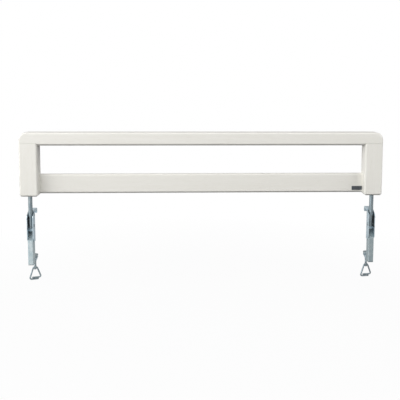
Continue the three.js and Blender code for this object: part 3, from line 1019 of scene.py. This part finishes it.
def clamp_screw(side, word):
    """The clamp's screw, with a real right-hand thread and a plain shank for the handle."""
    node = f"clamp_screw_{word}"
    low, high = node_box(node)
    root = THREAD_RADIUS - THREAD_DEPTH
    shank_top = low[2] + SHANK_LENGTH
    thread = bmesh.new()
    profile = [
        (root, 0),
        (THREAD_RADIUS, THREAD_PITCH * CREST_START),
        (THREAD_RADIUS, THREAD_PITCH * CREST_END),
        (root, THREAD_PITCH * ROOT_START),
        (root, THREAD_PITCH),
    ]
    verts = [thread.verts.new((r, 0, z)) for r, z in profile]
    edges = [thread.edges.new(pair) for pair in zip(verts, verts[1:])]
    turns = math.ceil((high[2] - shank_top) / THREAD_PITCH) + SPARE_TURNS
    bmesh.ops.spin(
        thread,
        geom=verts + edges,
        cent=(0, 0, 0),
        axis=(0, 0, 1),
        angle=FULL_TURN * turns,
        steps=THREAD_STEPS * turns,
        dvec=(0, 0, THREAD_PITCH / THREAD_STEPS),
    )
    bmesh.ops.remove_doubles(thread, verts=thread.verts, dist=THREAD_MERGE)
    shift(thread, (0, 0, shank_top - THREAD_PITCH * TURNS_BELOW_CUT))
    for z, way in ((shank_top, -1), (high[2], 1)):
        close_ring(thread, cut_plane(thread, (0, 0, z), (0, 0, way), cut_away=True))
    # The shank's small numbers chamfer its foot and blend its top into the thread's root
    shank_profile = [
        (0, low[2]),
        (SHANK_RADIUS - 1.1, low[2]),
        (SHANK_RADIUS - 0.5, low[2] + 0.3),
        (SHANK_RADIUS, low[2] + 1.2),
        (SHANK_RADIUS, shank_top - 0.6),
        (root, shank_top + 0.4),
        (0, shank_top + 0.4),
    ]
    blank = joined(thread, turned(shank_profile, (0, 0, 0), 32))
    swing(blank, Matrix.Rotation(HANDLE_TURNS[word], 3, "Z"))
    shift(blank, (side * CLAMP_X, centre_of(low, high)[1], 0))
    finish(f"{node}_threaded", blank, bolt_zinc, f"screw_{word}", "zinc_steel", node)


def screw_handle(side, word):
    """One wire, bent to a triangle through the screw's shank, its ends lapped at the base."""
    node = f"screw_handle_{word}"
    low, high = node_box(node)
    low_lane = low[2] + WIRE
    high_lane = low_lane + 2 * WIRE + WIRE_LANE_GAP
    apex = high[2] - WIRE
    lane_end = HANDLE_CORNER_HALF - 2 * WIRE - HANDLE_END_GAP
    route = [
        (lane_end, low_lane, 0),
        (-HANDLE_CORNER_HALF, low_lane, WIRE_BENDS["corner"]),
        (-HANDLE_APEX_HALF, apex, WIRE_BENDS["apex"]),
        (HANDLE_APEX_HALF, apex, WIRE_BENDS["apex"]),
        (HANDLE_CORNER_HALF, high_lane, WIRE_BENDS["corner"]),
        (-lane_end, high_lane, 0),
    ]
    blank = bent_wire([(Vector((x, 0, z)), bend) for x, z, bend in route], WIRE, 20)
    swing(blank, Matrix.Rotation(HANDLE_TURNS[word], 3, "Z"))
    screw_y = centre_of(*node_box(f"clamp_screw_{word}"))[1]
    shift(blank, (side * CLAMP_X, screw_y, 0))
    finish(f"{node}_wire", blank, tube_zinc, f"screw_{word}", "zinc_steel", node)


def bent_wire(route, radius, sides):
    """A round wire along straight runs in the plane y = 0, with an arc at each corner."""
    blank = bmesh.new()
    at = route[0][0]
    heading = (route[1][0] - at).normalized()
    square = Vector((0, 0, 1)).rotation_difference(heading).to_matrix().to_4x4()
    start = bmesh.ops.create_circle(
        blank,
        cap_ends=True,
        segments=sides,
        radius=radius,
        matrix=Matrix.Translation(at) @ square,
    )["verts"]
    rim = ring_edges(blank, start)
    for (corner, bend), (following, _) in zip(route[1:], [*route[2:], (None, 0)]):
        heading = (corner - at).normalized()
        stop = corner - heading * bend
        rim = go_on(blank, rim, stop - at)
        if following is None:
            break
        onward = (following - corner).normalized()
        angle = heading.angle(onward)
        reach = bend / math.tan(angle / 2)
        axis = heading.cross(onward).normalized()
        swept = bmesh.ops.spin(
            blank,
            geom=rim,
            cent=stop + axis.cross(heading) * reach,
            axis=axis,
            angle=angle,
            steps=10,
        )["geom_last"]
        rim = only(swept, bmesh.types.BMEdge)
        at = corner + onward * bend
    close_ring(blank, rim)
    bmesh.ops.remove_doubles(blank, verts=blank.verts, dist=MERGE)
    round_caps(blank, sides, WIRE_RIM, 3)
    return blank


def domed_head(centre, way, radius, height):
    """A low round head with a short skirt and a domed top, which looks outwards along x."""
    skirt = height * HEAD_SKIRT
    profile = [(0, 0), (radius, 0), (radius, skirt)]
    for degrees in (15, 30, 45, 60, 75):
        angle = math.radians(degrees)
        rise = (height - skirt) * math.sin(angle)
        profile.append((radius * math.cos(angle), skirt + rise))
    profile.append((0, height))
    head = turned(profile, (0, 0, 0), 36)
    swing(head, TO_X)
    bmesh.ops.scale(head, vec=(way, 1, 1), verts=head.verts)
    shift(head, centre)
    return head


def bolt_and_nut(side, word, kind):
    """A bolt with a low domed head outside the bracket, and its cap nut inside."""
    bolt = f"{kind}_bolt_{word}"
    nut = f"{kind}_nut_{word}"
    low, high = local_box(bolt, side)
    _, y, z = centre_of(low, high)
    radius = (high[1] - low[1]) / 2
    outside = local_box(f"bracket_{word}", side)[1][0]
    head = domed_head((outside, y, z), 1, radius, high[0] - outside)
    shank = rod(TO_X, (low[0], y, z), BOLT_SHANKS[kind], outside - low[0], 32)
    blank = stand(joined(head, shank), side)
    finish(f"{bolt}_headed", blank, bolt_zinc, "clamp_frames", "zinc_steel", bolt)
    nut_low, nut_high = local_box(nut, side)
    dome = domed_head((nut_high[0], y, z), -1, radius, nut_high[0] - nut_low[0])
    blank = stand(dome, side)
    finish(f"{nut}_domed", blank, bolt_zinc, "clamp_frames", "zinc_steel", nut)


def pivot_spacer(side, word, place):
    """A turned collar that keeps the leg in the middle of the bracket."""
    node = f"pivot_spacer_{place}_{word}"
    low, high = local_box(node, side)
    start = (low[0], *centre_of(low, high)[1:])
    blank = rod(TO_X, start, (high[1] - low[1]) / 2, high[0] - low[0], 32, SPACER_RIM)
    blank = stand(blank, side)
    finish(f"{node}_turned", blank, bolt_zinc, "clamp_frames", "zinc_steel", node)


def release_lever(side, word):
    """The black lever beside the leg: a thumb tab at its foot and grip ribs above it."""
    node = f"release_lever_{word}"
    low, high = local_box(node, side)
    front = low[1] + TAB_REACH
    outline = [
        (front, high[2]),
        (front, low[2] + TAB_SLOPE_TOP),
        (low[1], low[2] + TAB_HEIGHT),
        (low[1], low[2]),
        (high[1], low[2]),
        (high[1], high[2]),
    ]
    body = cut_out(outline, "x", low[0], high[0])
    for y, z in (outline[0], outline[1], outline[4], outline[5]):
        round_off(body, edges_at(body, "x", y=y, z=z), LEVER_CORNER, 5)
    round_off(body, sharp_edges(body), LEVER_RIM, 3)
    ribs = []
    for step in range(RIB_COUNT):
        z = low[2] + RIB_START + RIB_PITCH * step
        rib = slab(
            (low[0] + RIB_INSET, front - RIB_HEIGHT, z),
            (high[0] - RIB_INSET, front + OVERLAP, z + RIB_WIDTH),
        )
        round_off(rib, sharp_edges(rib), RIB_RIM)
        ribs.append(rib)
    blank = stand(joined(body, *ribs), side)
    # The lever is moulded black, and its black is partly painted shade: it fills the strip where
    # the bracket's channel lies in shade
    finish(f"{node}_moulded", blank, black, f"lever_{word}", "black_plastic", node)


def lever_pin(side, word):
    """The rivet that the lever swings on, with a low domed head outside the bracket."""
    node = f"lever_pin_{word}"
    low, high = local_box(node, side)
    radius = (high[1] - low[1]) / 2
    head = local_box(f"bracket_{word}", side)[1][0] - low[0]
    length = high[0] - low[0]
    # The last four places are the head's low dome
    profile = [
        (0, 0),
        (PIN_RADIUS - PIN_CHAMFER, 0),
        (PIN_RADIUS, PIN_CHAMFER),
        (PIN_RADIUS, head),
        (radius, head),
        (radius, head + 0.5),
        (radius * 0.86, head + 1.05),
        (radius * 0.5, length - 0.08),
        (0, length),
    ]
    blank = turned(profile, (0, 0, 0), 32)
    swing(blank, TO_X)
    shift(blank, (low[0], *centre_of(low, high)[1:]))
    blank = stand(blank, side)
    finish(f"{node}_riveted", blank, bolt_zinc, "clamp_frames", "zinc_steel", node)


def weld_beads(side, word):
    """Weld beads where the bracket's cheeks and web and the lower jaw's foot meet the tube."""
    cheek_foot = local_box(f"bracket_{word}", side)[0][2]
    jaw_low, jaw_high = local_box(f"lower_jaw_{word}", side)
    tube = local_box(f"spine_{word}", side)[1][0]
    web = (-SHEET / 2, WEB_BOTTOM - WELD_LIFT)
    web_end = tube - SPINE_CORNER
    foot_ends = (jaw_low[2] + FOOT_WELD_INSETS[0], jaw_high[2] - FOOT_WELD_INSETS[1])
    runs = [[(x, *web) for x in (-web_end, web_end)]]
    for way in (-1, 1):
        runs.append([(way * (tube + WELD_LIFT), y, cheek_foot) for y in CHEEK_WELD])
        runs.append([(way * tube, FOOT_WELD_Y, z) for z in foot_ends])
    beads = []
    for start, end in runs:
        run = Vector(end) - Vector(start)
        count = int(run.length / WELD_STEP)
        for step in range(count + 1):
            bead = bmesh.new()
            bmesh.ops.create_icosphere(bead, subdivisions=1, radius=WELD_RADIUS)
            shift(bead, Vector(start).lerp(Vector(end), step / count))
            beads.append(bead)
    blank = stand(joined(*beads), side)
    finish(f"weld_beads_{word}", blank, bolt_zinc, "clamp_frames", "zinc_steel")


top_rail()
lower_rail()
rail_plate()
for word, side in SIDES.items():
    post(side, word)
    for number in (1, 2):
        leg_screw(side, word, number)
    leg(side, word)
    bracket(side, word)
    spine(side, word)
    spine_plug(side, word)
    top_jaw(side, word)
    lower_jaw(side, word)
    screw_nut(side, word)
    pressure_pad(side, word)
    clamp_screw(side, word)
    screw_handle(side, word)
    bolt_and_nut(side, word, "pivot")
    bolt_and_nut(side, word, "stop")
    pivot_spacer(side, word, "outer")
    pivot_spacer(side, word, "inner")
    release_lever(side, word)
    lever_pin(side, word)
    weld_beads(side, word)

# The dowels stay as packed, in bare wood
for node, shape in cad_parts.items():
    if "dowel" in node:
        shape.data.materials.clear()
        shape.data.materials.append(beech)


def add_camera():
    """The camera of the photo, with its fitted place, aim, lens and shift."""
    lens = bpy.data.cameras.new("camera")
    lens.sensor_width = SENSOR_WIDTH
    lens.lens = LENS_SHARE * SENSOR_WIDTH
    lens.shift_x = SHIFT_RIGHT
    lens.shift_y = SHIFT_UP
    lens.clip_end = SIGHT_END
    camera = add_object("camera", lens)
    camera.location = CAMERA_TARGET + CAMERA_DISTANCE * Vector(
        (
            -math.sin(CAMERA_AZIMUTH) * math.cos(CAMERA_HEIGHT),
            -math.cos(CAMERA_AZIMUTH) * math.cos(CAMERA_HEIGHT),
            math.sin(CAMERA_HEIGHT),
        )
    )
    look = Vector(
        (
            math.sin(LOOK_YAW) * math.cos(LOOK_DOWN),
            math.cos(LOOK_YAW) * math.cos(LOOK_DOWN),
            -math.sin(LOOK_DOWN),
        )
    )
    roll = Matrix.Rotation(CAMERA_ROLL, 3, "Z")
    camera.rotation_euler = (look.to_track_quat("-Z", "Y").to_matrix() @ roll).to_euler()
    bpy.context.scene.camera = camera


def seen_directly(tree):
    """One where a ray comes from the camera, a reflection or glass, and nought elsewhere."""
    path = add_node(tree, "ShaderNodeLightPath").outputs
    reflected = calculated(tree, "MAXIMUM", path["Is Camera Ray"], path["Is Glossy Ray"])
    return calculated(tree, "MAXIMUM", reflected, path["Is Transmission Ray"])


def brightness(tree, place):
    """Full for the camera's rays; a reflection sees the surround get dimmer towards the right."""
    across = add_node(tree, "ShaderNodeSeparateXYZ", inputs={"Vector": place}).outputs["X"]
    reflected = ranged(tree, across, (1.0, DIMMED), (-DIMMING_REACH, DIMMING_REACH))
    path = add_node(tree, "ShaderNodeLightPath").outputs
    return calculated(tree, "MAXIMUM", reflected, path["Is Camera Ray"])


def white_surround():
    """A world that is white where it is seen, and gives only a little light from all around."""
    world = bpy.data.worlds.new("studio")
    bpy.context.scene.world = world
    tree = empty_tree(world)
    place = add_node(tree, "ShaderNodeTexCoord").outputs["Generated"]
    surround = add_node(
        tree,
        "ShaderNodeBackground",
        inputs={"Color": srgb(WHITE), "Strength": brightness(tree, place)},
    )
    ambient = add_node(
        tree,
        "ShaderNodeBackground",
        inputs={"Color": srgb("#F6F8FF"), "Strength": AMBIENT},
    )
    mixed = add_node(
        tree,
        "ShaderNodeMixShader",
        inputs={
            0: seen_directly(tree),
            1: ambient.outputs["Background"],
            2: surround.outputs["Background"],
        },
    )
    add_node(tree, "ShaderNodeOutputWorld", inputs={"Surface": mixed.outputs["Shader"]})


def backdrop_paper():
    """White paper that throws little light back on the object and shows its shadow faintly."""
    paper = bpy.data.materials.new("white_backdrop_paper")
    tree = empty_tree(paper)
    place = add_node(tree, "ShaderNodeTexCoord").outputs["Object"]
    seen = seen_directly(tree)
    tone = add_node(
        tree,
        "ShaderNodeMix",
        {"data_type": "RGBA"},
        {0: seen, 6: srgb("#303030"), 7: srgb("#D8D8D8")},
    )
    matt = add_node(tree, "ShaderNodeBsdfDiffuse", inputs={"Color": tone.outputs[2]})
    bright = add_node(
        tree,
        "ShaderNodeEmission",
        inputs={"Color": srgb(WHITE), "Strength": brightness(tree, place)},
    )
    away = add_node(tree, "ShaderNodeVectorMath", {"operation": "LENGTH"}, {0: place})
    plain = ranged(tree, away.outputs["Value"], (WHITE_SHARE, 1.0), SHADOW_REACH)
    mixed = add_node(
        tree,
        "ShaderNodeMixShader",
        inputs={
            0: calculated(tree, "MULTIPLY", seen, plain),
            1: matt.outputs["BSDF"],
            2: bright.outputs["Emission"],
        },
    )
    add_node(tree, "ShaderNodeOutputMaterial", inputs={"Surface": mixed.outputs["Shader"]})
    return paper


def add_floor():
    """The floor, which is no part of the model."""
    blank = bmesh.new()
    bmesh.ops.create_grid(blank, x_segments=1, y_segments=1, size=FLOOR_HALF)
    shift(blank, (0, FLOOR_BACK, cad_box[0][2] - FLOOR_DROP * MM))
    mesh = to_mesh("floor", blank)
    floor = add_object("floor", mesh)
    mesh.materials.append(backdrop_paper())


def add_lamps():
    """Large soft lamps: the strongest in front, one at each side and a weak one behind."""
    for name, (place, size, power) in LAMPS.items():
        lamp = bpy.data.lights.new(name, "AREA")
        lamp.size = size
        lamp.energy = power
        holder = add_object(name, lamp)
        holder.location = place
        holder.rotation_euler = (-Vector(place)).to_track_quat("-Z", "Y").to_euler()


add_camera()
white_surround()
add_floor()
add_lamps()
bpy.context.scene.view_settings.view_transform = "Standard"
